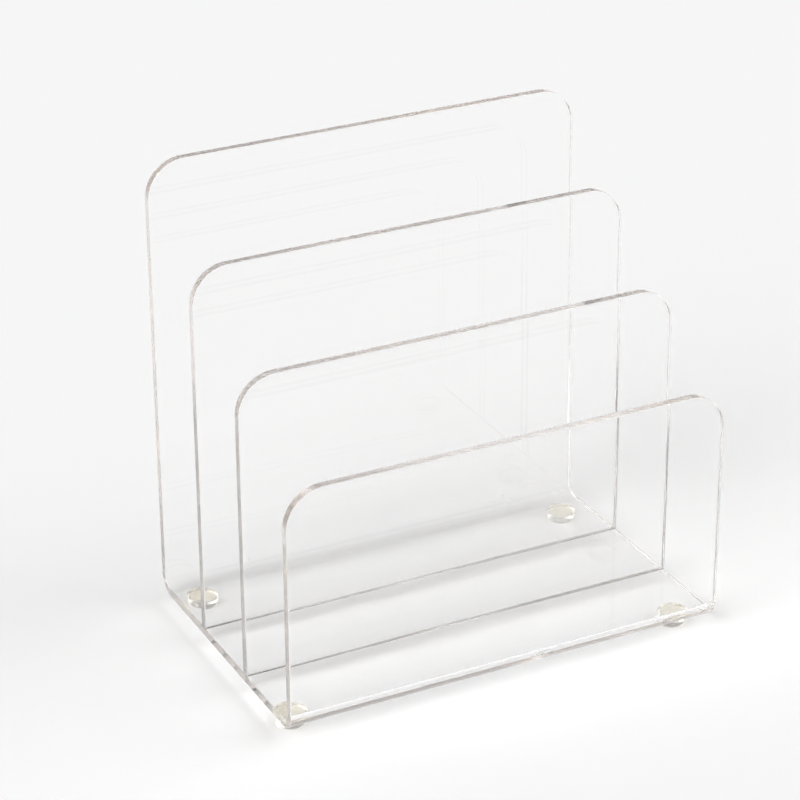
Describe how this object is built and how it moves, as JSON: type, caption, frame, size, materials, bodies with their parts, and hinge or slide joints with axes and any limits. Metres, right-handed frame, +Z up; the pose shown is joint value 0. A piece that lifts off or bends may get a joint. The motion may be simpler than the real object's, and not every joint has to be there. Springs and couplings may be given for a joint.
{
  "type": "letter sorter",
  "caption": "Clear acrylic desktop letter sorter: low front panel, tall back panel and flat dividers make upright slots open at both ends, on soft bumper feet.",
  "frame": {"origin": "middle of the footprint on the surface the feet rest on", "axes": "+Z up, +Y from the low front panel to the tall back panel, +X along the width to the right when seen from the front"},
  "size_m": [0.1524, 0.1016, 0.1556],
  "materials": {
    "clear_acrylic": "clear cast acrylic sheet, glossy faces, flame-polished edges",
    "clear_bumper": "clear soft polyurethane, smooth",
    "clear_tape": "clear double-sided adhesive film"
  },
  "bodies": {
    "root": {"body_sheet": "clear_acrylic", "front_divider": "clear_acrylic", "rear_divider": "clear_acrylic", "front_left_foot": "clear_bumper", "front_left_foot_tape": "clear_tape", "front_right_foot": "clear_bumper", "front_right_foot_tape": "clear_tape", "back_left_foot": "clear_bumper", "back_left_foot_tape": "clear_tape", "back_right_foot": "clear_bumper", "back_right_foot_tape": "clear_tape"}
  },
  "joints": []
}
